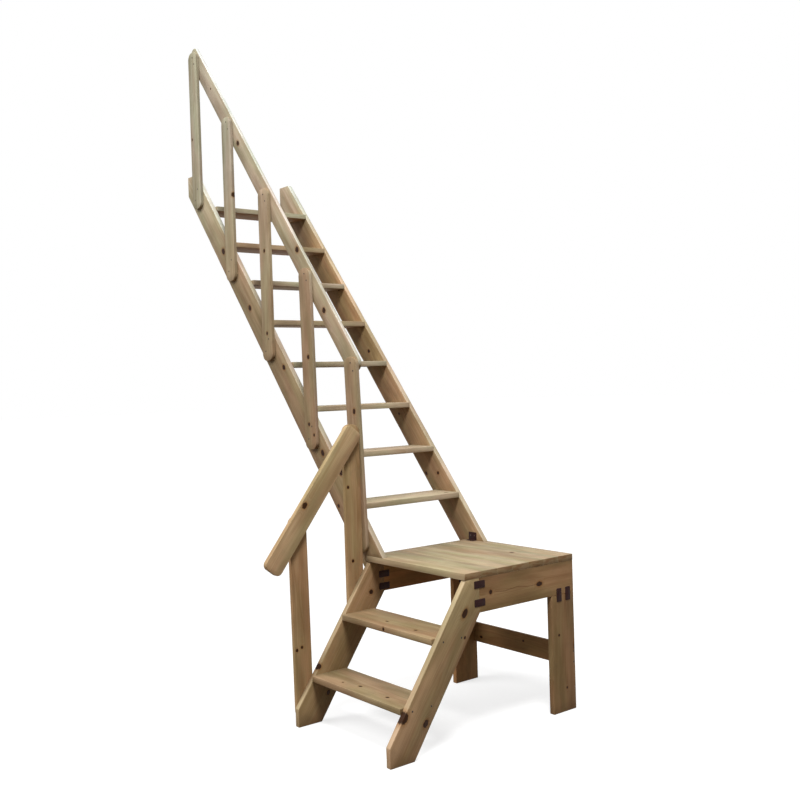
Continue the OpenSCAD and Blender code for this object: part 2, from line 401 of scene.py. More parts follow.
def clear_wood(n, growth, early, late):
    """The colour of wood with no knots: its rings, streaks, fibres, stains and clouds"""
    colour = n.mix(n.math("MULTIPLY", growth["Rings"], 0.48), early, late)
    streak = n.smooth(growth["Streaks"], 0.30, 0.72)
    colour = n.mix(n.math("MULTIPLY", streak, 0.42), colour, [c * 0.90 for c in late])
    fibre = n.smooth(growth["Fibres"], 0.55, 0.75)
    colour = n.mix(n.math("MULTIPLY", fibre, 0.18), colour, [c * 0.72 for c in late])
    stain = n.smooth(growth["Stain"], 0.30, 0.70)
    colour = n.mix(stain, n.times(colour, GREENISH), n.times(colour, REDDISH))
    cloud = n.smooth(growth["Cloud"], 0.32, 0.68)
    return n.mix(cloud, n.times(colour, SHADY), n.times(colour, LIGHT))


def worn_and_painted_light_wood(n, colour, spot, wear, early, edges):
    """Adds dirt, torn ends, rubbed edges, a painted highlight or painted shade on the side faces and a
    painted brown shade on the underside
    """
    colour = n.mix(n.math("MULTIPLY", wear["Dirt"], 0.16), colour, WOOD_DIRT)
    torn = n.smooth(n.noise(n.vector("MULTIPLY", spot, (60.0, 22.0, 90.0)), detail=3), 0.42, 0.62)
    end = n.math("MULTIPLY", n.attribute("board_end", "Fac"), 0.75)
    colour = n.mix(end, colour, n.mix(torn, TORN_PALE, TORN_DARK))
    rubbed = [min(1, c * 1.35) for c in early]
    colour = n.mix(n.math("MULTIPLY", wear["Edge"], 0.22), colour, rubbed)
    # A painted highlight on the side faces, or a painted shade where the edge tone is below 0
    pale = n.math("MULTIPLY", n.attribute("board_side", "Fac"), edges)
    colour = n.mix(pale, colour, n.times(colour, PAINTED_EDGE_HIGHLIGHT))
    dark = n.math("MULTIPLY", pale, -1.0, clamp=True)
    colour = n.mix(dark, colour, n.times(colour, PAINTED_EDGE_SHADE))
    # Painted brown shade on the undersides
    return n.mix(n.attribute("board_under", "Fac"), colour, n.times(colour, PAINTED_UNDERSIDE_SHADE))


def crack_mask(n, place, spot):
    """A thin crack that wanders along the board, and closes toward both its ends"""
    at, crack = n.split(place), n.split(n.attribute("board_crack"))
    line = n.noise(n.vector("MULTIPLY", spot, (7.0, 0.0, 0.0)), detail=3)
    line = n.math("MULTIPLY_ADD", n.math("SUBTRACT", line, 0.5), 0.035, crack[0])
    opens = n.smooth(at[0], crack[1], n.math("ADD", crack[1], 0.03))
    closes = n.smooth(at[0], n.math("SUBTRACT", crack[2], 0.08), crack[2], 1.0, 0.0)
    open_by = n.math("MULTIPLY", opens, closes)
    width = n.math("MULTIPLY_ADD", open_by, 0.0011, 0.0002)
    off = n.math("DIVIDE", n.math("ABSOLUTE", n.math("SUBTRACT", at[1], line)), width)
    return n.math("MULTIPLY", n.smooth(off, 0.3, 1.0, 1.0, 0.0), n.math("MINIMUM", open_by, 1.0))


def toned(n, colour, lift, warm):
    """Makes a colour lighter by lift, and takes green and blue from it by warm"""
    level = n.add("ShaderNodeCombineColor")
    n.join(lift, level.inputs[0])
    n.join(n.math("SUBTRACT", lift, n.math("MULTIPLY", warm, 0.5)), level.inputs[1])
    n.join(n.math("SUBTRACT", lift, warm), level.inputs[2])
    return n.times(colour, level.outputs[0])


def pine(name, timber, shade=(1.0, 1.0, 1.0)):
    """Planed pine: its early and late wood are the timber's, each times shade"""
    if name in bpy.data.materials:
        return bpy.data.materials[name]
    material, n, shader = new_material(name)
    early = [a * b for a, b in zip(timber.early, shade)]
    late = [a * b for a, b in zip(timber.late, shade)]
    place, seed = n.attribute("board_place"), n.attribute("board_seed")
    spot = n.vector("ADD", place, seed)
    lift, warm, edges = n.split(n.attribute("board_tone"))
    knots = n.group(knot_group(), Nearest=n.attribute("knot_nearest"),
                    Next=n.attribute("knot_next"), Place=place)
    growth = n.group(growth_group(), Place=place, Pith=n.attribute("board_pith"), Seed=seed,
                     Swirl=knots["Swirl"])
    wear = n.group(wear_group(), Place=place, Half=n.attribute("board_half"), Seed=seed,
                   Width=0.004)
    colour = clear_wood(n, growth, early, late)
    colour = worn_and_painted_light_wood(n, colour, spot, wear, early, edges)
    colour = n.mix(n.math("MULTIPLY", knots["Halo"], 0.62), colour, RESIN)
    colour = n.mix(knots["Heart"], colour, timber.knot)
    colour = n.mix(n.math("MULTIPLY", knots["Bark"], 0.8), colour, timber.bark)
    crack = crack_mask(n, place, spot)
    colour = n.mix(n.math("MULTIPLY", crack, 0.75), colour, CRACK)
    n.join(toned(n, colour, lift, warm), shader.inputs["Base Color"])
    rough = n.math("MULTIPLY_ADD", growth["Fibres"], 0.24, 0.52)
    rough = n.math("SUBTRACT", rough, n.math("MULTIPLY", growth["Rings"], 0.08))
    rough = n.math("SUBTRACT", rough, n.math("MULTIPLY", knots["Heart"], 0.04), clamp=True)
    n.join(rough, shader.inputs["Roughness"])
    shader.inputs["Specular IOR Level"].default_value = 0.12
    height = n.math("MULTIPLY_ADD", growth["Fibres"], 0.8, n.math("MULTIPLY", growth["Rings"], 0.5))
    height = n.math("ADD", height, n.math("MULTIPLY", knots["Heart"], 0.9))
    height = n.math("SUBTRACT", height, n.math("MULTIPLY", knots["Bark"], 1.4))
    height = n.math("SUBTRACT", height, n.math("MULTIPLY", crack, 2.0))
    n.bump(shader, height, 0.55, 0.0005)
    return material


def coated_steel(name, fitting):
    """Thin brown coating on steel, rubbed through on its edges"""
    if name in bpy.data.materials:
        return bpy.data.materials[name]
    material, n, shader = new_material(name)
    place, seed = n.attribute("board_place"), n.attribute("board_seed")
    spot = n.vector("ADD", place, seed)
    wear = n.group(wear_group(), Place=place, Half=n.attribute("board_half"), Seed=seed,
                   Width=0.0016)
    mottle = n.smooth(n.noise(spot, scale=160.0, detail=3), 0.35, 0.7)
    cloud = n.smooth(n.noise(spot, scale=45.0, detail=2), 0.35, 0.7)
    colour = n.mix(mottle, fitting.coat, [c * 2.1 for c in fitting.coat])
    colour = n.mix(n.math("MULTIPLY", cloud, 0.35), colour, PURPLE)
    colour = n.mix(n.math("MULTIPLY", wear["Dirt"], 0.22), colour, PLATE_DIRT)
    rubbed = n.math("MULTIPLY", wear["Edge"], 0.45)
    n.join(n.mix(rubbed, colour, RUBBED), shader.inputs["Base Color"])
    n.join(n.math("MULTIPLY", rubbed, 0.5), shader.inputs["Metallic"])
    n.join(n.math("MULTIPLY_ADD", mottle, 0.22, 0.52), shader.inputs["Roughness"])
    shader.inputs["Specular IOR Level"].default_value = 0.12
    n.bump(shader, n.math("SUBTRACT", mottle, rubbed), 0.4, 0.0002)
    return material


def screw_steel(name, colour):
    """Plated steel of a screw's head, dull, with painted shade in its recess"""
    if name in bpy.data.materials:
        return bpy.data.materials[name]
    material, n, shader = new_material(name)
    place, seed = n.attribute("board_place"), n.attribute("board_seed")
    tarnish = n.smooth(n.noise(n.vector("ADD", place, seed), scale=420.0, detail=3), 0.35, 0.7)
    shade = n.mix(tarnish, colour, [c * 0.55 for c in colour])
    # Painted shade in the recess
    n.join(n.mix(n.attribute("screw_recess", "Fac"), shade, PAINTED_RECESS_SHADE), shader.inputs["Base Color"])
    n.join(n.math("MULTIPLY_ADD", tarnish, -0.5, 0.8), shader.inputs["Metallic"])
    n.join(n.math("MULTIPLY_ADD", tarnish, 0.25, 0.38), shader.inputs["Roughness"])
    n.bump(shader, tarnish, 0.3, 0.0001)
    return material


# ---------------------------------------------------------------- boards

def axis(i):
    return Vector([float(k == i) for k in range(3)])


def ends_of(points):
    """The lowest and the highest corner of the box round some points"""
    return [Vector([end(p[i] for p in points) for i in range(3)]) for end in (min, max)]


def sharp_edges(shape):
    return [e for e in shape.edges if e.calc_face_angle(0) > SHARP]


def slice_through(shape, place, out, clear=False):
    """Cuts a shape with a plane, clears what lies beyond it if asked, and returns the cut's parts"""
    everything = shape.verts[:] + shape.edges[:] + shape.faces[:]
    return bmesh.ops.bisect_plane(shape, geom=everything, plane_co=place, plane_no=out,
                                  clear_outer=clear)["geom_cut"]


def node_shape(node):
    """A node's solid, with its points joined"""
    shape = bmesh.new()
    shape.from_mesh(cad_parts[node].data)
    bmesh.ops.remove_doubles(shape, verts=shape.verts, dist=1e-6)
    return shape


class Board:
    """A node's own directions (along, across, through), its middle and its half sizes"""

    def __init__(self, node, along=None):
        self.node = node
        shape = self.shape()
        low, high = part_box(node)
        thin = min(range(3), key=lambda i: high[i] - low[i])
        if along is None:
            edge = max(sharp_edges(shape), key=lambda e: e.calc_length())
            along = (edge.verts[1].co - edge.verts[0].co).normalized()
            # A board that climbs runs upward, and a level one toward +X or +Y
            most = 2 if abs(along.z) > 0.2 else max(range(3), key=lambda i: abs(along[i]))
            along = along if along[most] > 0 else -along
        self.measure(along, axis(thin), [v.co for v in shape.verts])
        shape.free()

    def measure(self, along, through, points):
        """Sets the directions, and the middle and the half sizes of these points in them"""
        self.along, self.through = along, through
        self.across = through.cross(along)
        self.turn = Matrix((self.along, self.across, self.through))
        low, high = ends_of([self.turn @ p for p in points])
        self.middle, self.half = (low + high) / 2, (high - low) / 2

    def shape(self):
        """The node's solid with its flat faces whole"""
        shape = node_shape(self.node)
        bmesh.ops.dissolve_limit(shape, angle_limit=0.02, verts=shape.verts, edges=shape.edges)
        return shape

    def local(self, point):
        return self.turn @ point - self.middle

    def place(self, local):
        return self.turn.transposed() @ (local + self.middle)

    def at(self, along, across, through):
        """The point a share of the way along, and shares -1 to 1 across and through"""
        h = self.half
        return self.place(Vector(((2 * along - 1) * h.x, across * h.y, through * h.z)))


class Plate(Board):
    """One of a node's flat pieces, from its box"""

    def __init__(self, low, high):
        size = high - low
        order = sorted(range(3), key=lambda i: -size[i])
        self.measure(axis(order[0]), axis(order[2]), (low, high))


def write(mesh, name, values, domain="POINT"):
    """Stores one vector for each point or corner"""
    layer = mesh.attributes.new(name, "FLOAT_VECTOR", domain)
    layer.data.foreach_set("vector", [c for value in values for c in value])


def write_faces(mesh, name, measure):
    """Stores what measure says of each face, at its corners"""
    values = [measure(face) for face in mesh.polygons for _ in face.loop_indices]
    mesh.attributes.new(name, "FLOAT", "CORNER").data.foreach_set("value", values)


def place_on_board(mesh, board, seed):
    """Stores where each point lies on its board, for the board's pattern"""
    count = len(mesh.vertices)
    write(mesh, "board_place", [board.local(v.co) for v in mesh.vertices])
    write(mesh, "board_half", [board.half] * count)
    write(mesh, "board_seed", [seed] * count)
    write_faces(mesh, "board_end", lambda face: abs(face.normal.dot(board.along)) ** 3)
    write_faces(mesh, "board_side", lambda face: abs(face.normal.dot(board.across)) ** 3)


def tone_change(run, share):
    """What multiplies a board's lightness and what adds to its warmth, a share of the way along, which
    in part paints light and shade along the board
    """
    for (start, *before), (stop, *after) in zip(run, run[1:]):
        if share < stop or stop == run[-1][0]:
            part = min(1, max(0, (share - start) / (stop - start)))
            return [a + part * (b - a) for a, b in zip(before, after)]
    return 1, 0


def write_tone(mesh, board, tone, run=(), tilt=0):
    """Stores how light, how warm and how pale at its edges a board is at each point, in part as
    painted light and shade
    """
    lift, warm, pale = tone
    tones = []
    for v in mesh.vertices:
        place = board.local(v.co)
        times, more = tone_change(run, (place.x / board.half.x + 1) / 2)
        # Painted shade across the board: lighter toward one edge by tilt
        slope = 1 + tilt * place.y / board.half.y
        tones.append((lift * times * slope, warm + more, pale))
    write(mesh, "board_tone", tones)


def draw_seed(chance):
    """A place in the endless patterns, so that no two pieces look alike"""
    return [chance.uniform(-20, 20) for _ in range(3)]


def draw_pith(chance, middle, aside, out, ring):
    """A pith's place across and through its board and its ring width, in metres.

    It lies up to aside from the middle, out of the board on either face, and out and ring are
    each the least and the most."""
    return (middle + chance.uniform(-aside, aside), chance.choice((-1, 1)) * chance.uniform(*out),
            chance.uniform(*ring))


def write_growth(mesh, board, pith, knots, crack=None):
    """Stores a board's pith, its crack and the two knots nearest to each face"""
    half = board.half
    start, stop, across = crack or NO_CRACK
    line = (across * half.y, (2 * start - 1) * half.x, (2 * stop - 1) * half.x)
    write(mesh, "board_pith", [pith] * len(mesh.vertices))
    write(mesh, "board_crack", [line] * len(mesh.vertices))
    spots = [((2 * a - 1) * half.x, c * half.y, ra, rc, abs(c) > AT_EDGE) for a, c, ra, rc in knots]
    spots += [(half.x + FAR_OFF, 0, 1, 1, False)] * 2
    nearest, following = [], []
    for face in mesh.polygons:
        middle = board.local(face.center)
        pair = sorted(spots, key=lambda s: math.hypot(middle.x - s[0], middle.y - s[1]))[:2]
        for index in face.vertices:
            p = board.local(mesh.vertices[index].co)
            for values, (a, c, ra, rc, edge) in zip((nearest, following), pair):
                deep = EDGE_DEPTH * p.z / rc if edge else 0
                values.append(((p.x - a) / ra, (p.y - c) / rc, deep))
    write(mesh, "knot_nearest", nearest, "CORNER")
    write(mesh, "knot_next", following, "CORNER")


def ease_edges(shape, board, arris, cut, seed):
    """Rounds a board's sharp edges a little unevenly, as wear does"""
    steps = int(2 * board.half.x / cut)
    for k in range(1, steps):
        slice_through(shape, board.at(k / steps, 0, 0), board.along)
    made = bmesh.ops.bevel(shape, geom=sharp_edges(shape), offset=arris, segments=2, profile=0.5,
                           affect="EDGES", clamp_overlap=True)
    rounds = set(made["faces"])
    for v in made["verts"]:
        if all(f in rounds for f in v.link_faces):
            worn = max(0.0, noise.noise(v.co * WEAR_CHANGES + Vector(seed)))
            v.co -= v.normal * arris * WEAR_TAKES * worn


def object_from(shape, name, material):
    """An object from a bmesh, which is used up"""
    mesh = bpy.data.meshes.new(name)
    shape.normal_update()
    shape.to_mesh(mesh)
    shape.free()
    mesh.materials.append(material)
    piece = bpy.data.objects.new(name, mesh)
    bpy.context.scene.collection.objects.link(piece)
    return piece


def settle(piece, slot, *nodes):
    """Smooths a piece over shallow angles and makes it part of the stair, in place of these nodes"""
    bpy.ops.object.select_all(action="DESELECT")
    piece.select_set(True)
    bpy.context.view_layer.objects.active = piece
    bpy.ops.object.shade_smooth_by_angle(angle=SMOOTH)
    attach(piece, "root")
    if nodes:
        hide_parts(*nodes)


def add_board(node, material, slot, arris, tone, knots, crack=None, run=(), under=0, tilt=0):
    """Builds one board in place of its node.

    tone is its lightness, its warmth and how pale its edges are, or how dark below 0, in part
    as painted light and shade: the pale edges a painted highlight, the dark ones a painted
    shade. Each knot is its share along, its share across and its radii in millimetres. crack is
    the shares along where it starts and stops, and its share across. run changes the tone along
    the board, in part as painted light and shade: each stop is its share along, what multiplies
    the lightness and what adds to the warmth. under is how strong the painted brown shade on its
    underside is, and tilt how much lighter it is painted toward one edge, as painted shade."""
    chance = random.Random(node)
    board = Board(node)
    seed = draw_seed(chance)
    pith = draw_pith(chance, 0, 0.04, (0.025, 0.07), (0.0032, 0.0052))
    shape = board.shape()
    ease_edges(shape, board, arris, bpy.context.scene.loft_timber.cut, seed)
    piece = object_from(shape, node + "_board", material)
    place_on_board(piece.data, board, seed)
    write_tone(piece.data, board, tone, run, tilt)
    write_growth(piece.data, board, pith,
                 [(a, c, ra / 1000, rc / 1000) for a, c, ra, rc in knots], crack)
    # Painted shade: the downward faces darker and browner
    if under:
        write_faces(piece.data, "board_under", lambda face: under * max(0.0, -face.normal.z) ** 3)
    settle(piece, slot, node)


def lower_board(node, tone, knots, slim=False, **more):
    """A board of the platform, the lower flight or its railing, in the browner pine, browner in part
    as its own colour and in part as painted shade low down
    """
    timber = bpy.context.scene.loft_timber
    add_board(node, pine("planed_lower_boards", timber, LOWER_SHADE), "lower_pine",
              timber.slat_arris if slim else timber.arris, tone, knots, **more)


def upper_board(node, tone, knots, slim=False, **more):
    """A board of the upper flight or its railing"""
    timber = bpy.context.scene.loft_timber
    add_board(node, pine("planed_upper_boards", timber), "upper_pine",
              timber.slat_arris if slim else timber.arris, tone, knots, **more)


# ---------------------------------------------------------------- screws

# The shape of a screw's head: from its rim inward, a share of the radius and a height in metres
HEAD = ((1.0, -0.0002), (1.0, 0.0003), (0.88, 0.0006))

# The recess: its arms' half length and half width as shares of the radius, its top and its floor
ARM, ARM_WIDTH = 0.62, 0.18
RECESS_TOP, RECESS_FLOOR = 0.0006, 0.0001

# The degrees in a quarter turn at which a head has points, with the corners of the recess
HEAD_TURNS = (0, 16.2, 30, 45, 60, 73.8)


def cross_reach(a):
    """How far the recess reaches in a direction, as a share of the head's radius"""
    c, s = abs(math.cos(a)) + 1e-9, abs(math.sin(a)) + 1e-9
    return max(min(ARM / c, ARM_WIDTH / s), min(ARM_WIDTH / c, ARM / s))


def add_screws(name, spots, radius, colour):
    """Cross-recessed heads, each at a point and standing along a direction"""
    turns = [math.radians(quarter * 90 + a) for quarter in range(4) for a in HEAD_TURNS]
    outlines = [([share] * len(turns), height) for share, height in HEAD]
    outlines += [([cross_reach(a) for a in turns], z) for z in (RECESS_TOP, RECESS_FLOOR)]
    shape = bmesh.new()
    chance = random.Random(name)
    hollow = set()
    for point, out in spots:
        facing = out.to_track_quat("Z", "Y").to_matrix().to_4x4()
        twist = Matrix.Rotation(chance.uniform(0, math.pi / 2), 4, "Z")
        move = Matrix.Translation(point) @ facing @ twist
        rings = [[shape.verts.new(move @ Vector((radius * share * math.cos(a),
                                                 radius * share * math.sin(a), height)))
                  for a, share in zip(turns, shares)] for shares, height in outlines]
        for low, high in zip(rings, rings[1:]):
            for i in range(len(turns)):
                j = (i + 1) % len(turns)
                shape.faces.new((low[i], low[j], high[j], high[i]))
        shape.faces.new(rings[-1])
        hollow.update(range(len(shape.faces) - len(turns) - 1, len(shape.faces)))
    piece = object_from(shape, name, screw_steel(name + "_steel", colour))
    mesh = piece.data
    write(mesh, "board_place", [v.co for v in mesh.vertices])
    write(mesh, "board_seed", [(1, 2, 3)] * len(mesh.vertices))
    write_faces(mesh, "screw_recess", lambda face: float(face.index in hollow))
    settle(piece, "fitting_brown")


# ---------------------------------------------------------------- the stair's pieces

class LOFT_OT_platform_top(bpy.types.Operator):
    """Glue the platform's panel up from staves"""
    bl_idname = "loft.platform_top"
    bl_label = "Platform top"

    def execute(self, context):
        timber = context.scene.loft_timber
        node = "platform_panel"
        board = Board(node, along=axis(0))
        material = pine("glued_staves", timber, STAVE_SHADE)
        chance = random.Random(node)
        for k in range(timber.staves):
            shape = board.shape()
            for edge, out in ((k, -1), (k + 1, 1)):
                if 0 < edge < timber.staves:
                    cut = board.at(0.5, 2 * edge / timber.staves - 1, 0)
                    made = slice_through(shape, cut, board.across * out, clear=True)
                    rim = [e for e in made if isinstance(e, bmesh.types.BMEdge)]
                    bmesh.ops.contextual_create(shape, geom=rim)
            seed = draw_seed(chance)
            ease_edges(shape, board, timber.stave_arris, timber.stave_cut, seed)
            piece = object_from(shape, f"platform_stave_{k + 1}", material)
            place_on_board(piece.data, board, seed)
            middle = (2 * (k + 0.5) / timber.staves - 1) * board.half.y
            pith = draw_pith(chance, middle, 0.03, (0.02, 0.05), (0.0035, 0.005))
            # The panel's one knot is in its sixth stave
            knots = [(0.66, 0.53, 0.010, 0.008)] if k == 5 else []
            tone = (chance.uniform(0.9, 1.02), chance.uniform(-0.01, 0.07), 0)
            write_tone(piece.data, board, tone)
            write_growth(piece.data, board, pith, knots)
            settle(piece, "panel_pine", node)
        return {"FINISHED"}


# In the boards below, each tone, run and tilt is in part the board's own colour and in part painted
# light and shade, lighter where light falls and darker where shade falls
class LOFT_OT_aprons(bpy.types.Operator):
    """Fit the two boards under the platform's sides"""
    bl_idname = "loft.aprons"
    bl_label = "Aprons"

    def execute(self, context):
        lower_board("left_apron", (1.12, 0.42, 0), [(0.7, 0.3, 8, 7)])
        # The right apron's tilt paints shade across it, lighter toward one edge
        lower_board("right_apron", (0.97, 0.10, 0), [(0.11, 0.06, 8, 9), (0.62, -0.07, 17, 9)],
                    crack=(0.12, 0.72, 0.0), tilt=-0.38)
        return {"FINISHED"}


class LOFT_OT_rear_legs(bpy.types.Operator):
    """Fit the rear legs and the stretcher between them"""
    bl_idname = "loft.rear_legs"
    bl_label = "Rear legs"

    def execute(self, context):
        lower_board("left_rear_leg", (0.92, 0.32, 0), [(0.3, 0.4, 8, 7)],
                    run=((0, 1.1087, 0), (1, 0.8913, 0)))
        lower_board("right_rear_leg", (0.74, 0.09, 0),
                    [(0.66, 0.4, 5, 5), (0.53, -0.98, 22, 9), (0.2, -0.2, 5, 4)])
        lower_board("leg_stretcher", (0.84, 0.26, 0), [(0.08, 0.4, 9, 6), (0.55, -0.3, 6, 5)])
        return {"FINISHED"}


class LOFT_OT_lower_stringers(bpy.types.Operator):
    """Fit the two stringers of the lower flight"""
    bl_idname = "loft.lower_stringers"
    bl_label = "Lower stringers"

    def execute(self, context):
        lower_board("lower_left_stringer", (0.88, 0.04, 0.5),
                    [(0.81, -0.07, 10, 10), (0.32, 1.0, 13, 11), (0.23, -0.46, 10, 8)])
        lower_board("lower_right_stringer", (1.05, -0.10, 0.35),
                    [(0.81, 0.05, 20, 12), (0.23, 0.95, 24, 17), (0.26, -0.6, 16, 11),
                     (0.71, -0.69, 6, 5)], run=((0, 0.981, 0), (1, 1.019, 0)))
        return {"FINISHED"}


class LOFT_OT_lower_treads(bpy.types.Operator):
    """Fit the two treads below the platform"""
    bl_idname = "loft.lower_treads"
    bl_label = "Lower treads"

    def execute(self, context):
        lower_board("lower_tread_1", (0.74, -0.11, 0),
                    [(0.28, -0.53, 5, 4), (0.44, -0.32, 9, 6), (0.76, -0.42, 8, 6)])
        lower_board("lower_tread_2", (0.83, -0.12, 0),
                    [(0.40, -0.30, 8, 5), (0.74, -0.44, 9, 6), (0.49, -1.0, 6, 4)])
        return {"FINISHED"}


class LOFT_OT_upper_stringers(bpy.types.Operator):
    """Fit the two stringers of the upper flight"""
    bl_idname = "loft.upper_stringers"
    bl_label = "Upper stringers"

    def execute(self, context):
        upper_board("upper_near_stringer", (0.86, 0.12, 1.5),
                    [(0.77, -0.01, 18, 14), (0.61, -0.09, 15, 12), (0.44, 0.45, 14, 11),
                     (0.24, 0.20, 15, 12), (0.18, 1.0, 17, 13), (0.14, -0.69, 9, 8),
                     (0.92, 0.5, 6, 5)],
                    run=((0.1, 0.87, 0.05), (0.55, 0.84, 0), (0.74, 0.98, 0), (0.9, 1.5, -0.36)))
        # The far stringer's run is painted light and shade along it: cooler near its top, warmer lower
        # down in the treads' shade
        upper_board("upper_far_stringer", (1.0, 0.26, 1.5),
                    [(0.49, 0.05, 10, 8), (0.19, -0.76, 10, 8), (0.17, 0.31, 8, 8),
                     (0.33, -0.3, 7, 6), (0.66, 0.4, 8, 6)],
                    run=((0.1, 1.02, -0.02), (0.35, 0.9, -0.02), (0.65, 1.06, 0.09),
                         (0.8, 1.0, 0.02), (0.93, 1.0, -0.42)))
        return {"FINISHED"}


class LOFT_OT_upper_treads(bpy.types.Operator):
    """Fit the eight treads of the upper flight"""
    bl_idname = "loft.upper_treads"
    bl_label = "Upper treads"

    def execute(self, context):
        chance = random.Random("upper_treads")
        # Each tread's lightness and warmth, in part its own colour and in part painted light and
        # shade, and the strength of the painted shade on its underside
        looks = ((1.15, -0.15, 0), (1.12, -0.15, 0), (1.15, -0.15, 0), (1.0, -0.2, 0.4),
                 (1.1, -0.04, 0.5), (0.98, -0.24, 0.6), (0.93, 0.08, 0.65), (1.08, -0.36, 1))
        for i, (lift, warm, under) in enumerate(looks):
            knots = [(chance.uniform(0.05, 0.95), chance.uniform(-0.8, 0.8), chance.uniform(4, 9),
                      chance.uniform(4, 7)) for _ in range(chance.choice((1, 2, 2, 3)))]
            upper_board(f"upper_tread_{i + 1}", (lift, warm, 0), knots, under=under)
        return {"FINISHED"}


class LOFT_OT_upper_slats(bpy.types.Operator):
    """Fit the newel and the balusters of the upper railing"""
    bl_idname = "loft.upper_slats"
    bl_label = "Newel and balusters"

    def execute(self, context):
        upper_board("newel_post", (0.85, 0.09, 0.2), [(0.72, 0.29, 12, 9), (0.35, -0.4, 6, 5)],
                    slim=True)
        upper_board("baluster_1", (0.78, 0.11, 0.4),
                    [(0.51, 0.19, 10, 9), (0.14, -0.19, 8, 8), (0.08, 0.65, 7, 6)],
                    slim=True, run=((0.1, 0.88, 0.05), (0.6, 1.04, 0), (0.9, 1.0, -0.03)))
        upper_board("baluster_2", (0.87, 0.04, -0.15), [(0.64, 0.01, 9, 8), (0.16, 0.04, 9, 8)],
                    slim=True, run=((0.1, 0.97, 0.05), (0.9, 1.1, -0.1)))
        upper_board("baluster_3", (1.06, -0.16, -0.55), [(0.52, 0.98, 12, 8)],
                    slim=True, run=((0.1, 0.97, 0.18), (0.4, 1.1, -0.04), (0.62, 0.96, -0.2),
                                    (0.9, 0.85, -0.13)))
        upper_board("baluster_4", (1.03, -0.33, -0.75), [(0.45, -0.6, 7, 5)], slim=True)
        return {"FINISHED"}


class LOFT_OT_upper_handrail(bpy.types.Operator):
    """Fit the upper handrail"""
    bl_idname = "loft.upper_handrail"
    bl_label = "Upper handrail"

    def execute(self, context):
        upper_board("upper_handrail", (1.02, -0.12, 1.3),
                    [(0.67, -0.06, 14, 11), (0.32, 0.49, 15, 13), (0.16, -0.12, 14, 12),
                     (0.86, 0.1, 5, 4)],
                    slim=True, run=((0.1, 0.93, 0.08), (0.3, 0.9, 0.07), (0.42, 1.04, 0),
                                    (0.95, 0.98, -0.24)))
        return {"FINISHED"}


class LOFT_OT_lower_railing(bpy.types.Operator):
    """Fit the two posts of the lower railing and its handrail"""
    bl_idname = "loft.lower_railing"
    bl_label = "Lower railing"

    def execute(self, context):
        lower_board("lower_rail_upper_post", (1.03, 0.0, 0),
                    [(0.30, 0.28, 7, 6), (0.68, 0.61, 7, 6)], slim=True)
        lower_board("lower_rail_lower_post", (1.0, 0.03, 0),
                    [(0.34, 0.70, 7, 6), (0.35, 0.11, 6, 6)], slim=True)
        lower_board("lower_handrail", (1.25, -0.24, 0), [(0.43, 0.60, 15, 11)], slim=True)
        return {"FINISHED"}


# ---------------------------------------------------------------- fittings

def round_bend(centre, radius, start, steps):
    """The points of a quarter round about a centre, from start degrees, with its ends"""
    turns = [math.radians(start + 90 * k / steps) for k in range(steps + 1)]
    return [(centre[0] + radius * math.cos(a), centre[1] + radius * math.sin(a)) for a in turns]


def extrude(outline, low, high, place):
    """A solid from an outline carried from low to high, each point put where place says"""
    shape = bmesh.new()
    ends = [[shape.verts.new(place(x, y, z)) for x, y in outline] for z in (low, high)]
    for i in range(len(outline)):
        j = (i + 1) % len(outline)
        shape.faces.new((ends[0][i], ends[0][j], ends[1][j], ends[1][i]))
    shape.faces.new(ends[1])
    shape.faces.new(ends[0][::-1])
    bmesh.ops.recalc_face_normals(shape, faces=shape.faces)
    return shape


def add_fitting(shape, name, plate, seed, node):
    """Rounds a fitting's sharp edges, coats it and puts it in its node's place"""
    fitting = bpy.context.scene.loft_fitting
    bmesh.ops.bevel(shape, geom=sharp_edges(shape), offset=fitting.arris, segments=2, profile=0.5,
                    affect="EDGES")
    piece = object_from(shape, name, coated_steel("coated_steel", fitting))
    place_on_board(piece.data, plate, seed)
    settle(piece, "fitting_brown", node)


def islands(node):
    """The boxes of a node's separate solids"""
    shape = node_shape(node)
    left, boxes = set(shape.verts), []
    while left:
        group, queue = [], [left.pop()]
        while queue:
            v = queue.pop()
            group.append(v.co.copy())
            beside = [e.other_vert(v) for e in v.link_edges]
            queue += [other for other in beside if other in left]
            left.difference_update(beside)
        boxes.append(ends_of(group))
    shape.free()
    return sorted(boxes, key=lambda box: tuple(box[0]))


class LOFT_OT_joining_plates(bpy.types.Operator):
    """Screw the pairs of joining plates on"""
    bl_idname = "loft.joining_plates"
    bl_label = "Joining plates"

    def execute(self, context):
        fitting = context.scene.loft_fitting
        spots = []
        for node in ("left_stringer_plates", "right_stringer_plates", "left_leg_plates",
                     "right_leg_plates"):
            chance = random.Random(node)
            for k, (low, high) in enumerate(islands(node)):
                plate = Plate(low, high)
                h, corner = plate.half, fitting.corner
                outline = []
                for sx, sy, start in ((1, 1, 0), (-1, 1, 90), (-1, -1, 180), (1, -1, 270)):
                    middle = (sx * (h.x - corner), sy * (h.y - corner))
                    outline += round_bend(middle, corner, start, 4)
                shape = extrude(outline, -h.z, h.z, lambda *at: plate.place(Vector(at)))
                seed = draw_seed(chance)
                add_fitting(shape, f"{node}_{k + 1}", plate, seed, node)
                spots += [(plate.at(along, across, 1) - plate.through * PLATE_SINK, plate.through)
                          for along in (0.16, 0.84) for across in (-0.45, 0.45)]
        add_screws("plate_screws", spots, fitting.plate_head, tuple(fitting.plate_steel))
        return {"FINISHED"}


